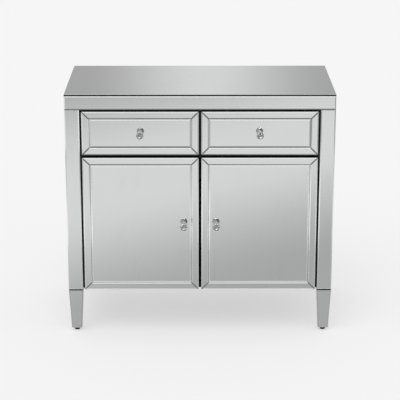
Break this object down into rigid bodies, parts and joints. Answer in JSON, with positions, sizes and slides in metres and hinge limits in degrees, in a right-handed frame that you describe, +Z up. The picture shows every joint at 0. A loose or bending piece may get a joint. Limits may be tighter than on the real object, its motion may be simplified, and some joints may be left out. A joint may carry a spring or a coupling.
{
  "type": "chiffonier",
  "caption": "Mirror-clad chiffonier: crystal-knobbed drawers over hinged doors in a black box on tapered mirrored legs, with bevelled mitred glass borders.",
  "frame": {"origin": "on the floor, at the middle of the overall box, knobs included", "axes": "+Z up, the front with its doors and drawers faces -Y, +X to the viewer's right"},
  "size_m": [0.88, 0.4946, 0.82],
  "materials": {
    "mirror": "silvered glass with ground bevels",
    "black_lacquer": "black satin lacquer on fibreboard",
    "crystal": "clear cut crystal",
    "chrome": "polished",
    "zinc_steel": "zinc plated",
    "black_steel": "black japanned steel",
    "black_plastic": "moulded"
  },
  "bodies": {
    "carcase": {"top_board": "black_lacquer", "top_glass": "mirror", "top_edge_glass": "mirror", "front_left_post": "black_lacquer", "front_right_post": "black_lacquer", "rear_posts": "black_lacquer", "post_glass": "mirror", "front_leg_glass": "mirror", "rear_leg_glass": "mirror", "foot_glides": "black_plastic", "left_side_liner": "black_lacquer", "right_side_liner": "black_lacquer", "bottom_board": "black_lacquer", "drawer_deck": "black_lacquer", "drawer_divider": "black_lacquer", "top_rails": "black_lacquer", "back_panel": "black_lacquer", "shelf": "black_lacquer", "shelf_pins": "zinc_steel", "side_panels": "black_lacquer", "side_spacers": "black_lacquer", "side_glass": "mirror", "hinge_frame_leaves": "black_steel", "hinge_pins": "black_steel", "magnetic_catches": "black_plastic", "runner_rails": "zinc_steel", "carcase_screws": "zinc_steel"},
    "left_drawer": {"left_drawer_front": "black_lacquer", "left_drawer_panel_glass": "mirror", "left_drawer_border_glass": "mirror", "left_drawer_box": "black_lacquer", "left_drawer_bottom": "black_lacquer", "left_runner_slides": "zinc_steel", "left_drawer_knob_crystal": "crystal", "left_drawer_knob_base": "chrome"},
    "left_runner": {"left_runner_middles": "zinc_steel"},
    "left_door": {"left_door_board": "black_lacquer", "left_door_panel_glass": "mirror", "left_door_border_glass": "mirror", "left_door_hinge_leaves": "black_steel", "left_door_strike_plate": "zinc_steel", "left_door_knob_crystal": "crystal", "left_door_knob_base": "chrome"},
    "right_drawer": {"right_drawer_front": "black_lacquer", "right_drawer_panel_glass": "mirror", "right_drawer_border_glass": "mirror", "right_drawer_box": "black_lacquer", "right_drawer_bottom": "black_lacquer", "right_runner_slides": "zinc_steel", "right_drawer_knob_crystal": "crystal", "right_drawer_knob_base": "chrome"},
    "right_runner": {"right_runner_middles": "zinc_steel"},
    "right_door": {"right_door_board": "black_lacquer", "right_door_panel_glass": "mirror", "right_door_border_glass": "mirror", "right_door_hinge_leaves": "black_steel", "right_door_strike_plate": "zinc_steel", "right_door_knob_crystal": "crystal", "right_door_knob_base": "chrome"}
  },
  "joints": [
    {"name": "left_drawer_slide", "type": "slide", "parent": "carcase", "child": "left_drawer", "axis": [0, -1, 0], "range_m": [0, 0.34]},
    {"name": "left_runner_slide", "type": "slide", "parent": "carcase", "child": "left_runner", "axis": [0, -1, 0], "range_m": [0, 0.17]},
    {"name": "left_door_swing", "type": "hinge", "parent": "carcase", "child": "left_door", "pos_m": [-0.378, -0.19375, 0.37925], "axis": [0, 0, -1], "range_deg": [0, 100]},
    {"name": "right_drawer_slide", "type": "slide", "parent": "carcase", "child": "right_drawer", "axis": [0, -1, 0], "range_m": [0, 0.34]},
    {"name": "right_runner_slide", "type": "slide", "parent": "carcase", "child": "right_runner", "axis": [0, -1, 0], "range_m": [0, 0.17]},
    {"name": "right_door_swing", "type": "hinge", "parent": "carcase", "child": "right_door", "pos_m": [0.378, -0.19375, 0.37925], "axis": [0, 0, 1], "range_deg": [0, 100]}
  ],
  "couplings": [
    {"joint": "left_runner_slide", "follows": "left_drawer_slide", "ratio": 0.5},
    {"joint": "right_runner_slide", "follows": "right_drawer_slide", "ratio": 0.5}
  ]
}
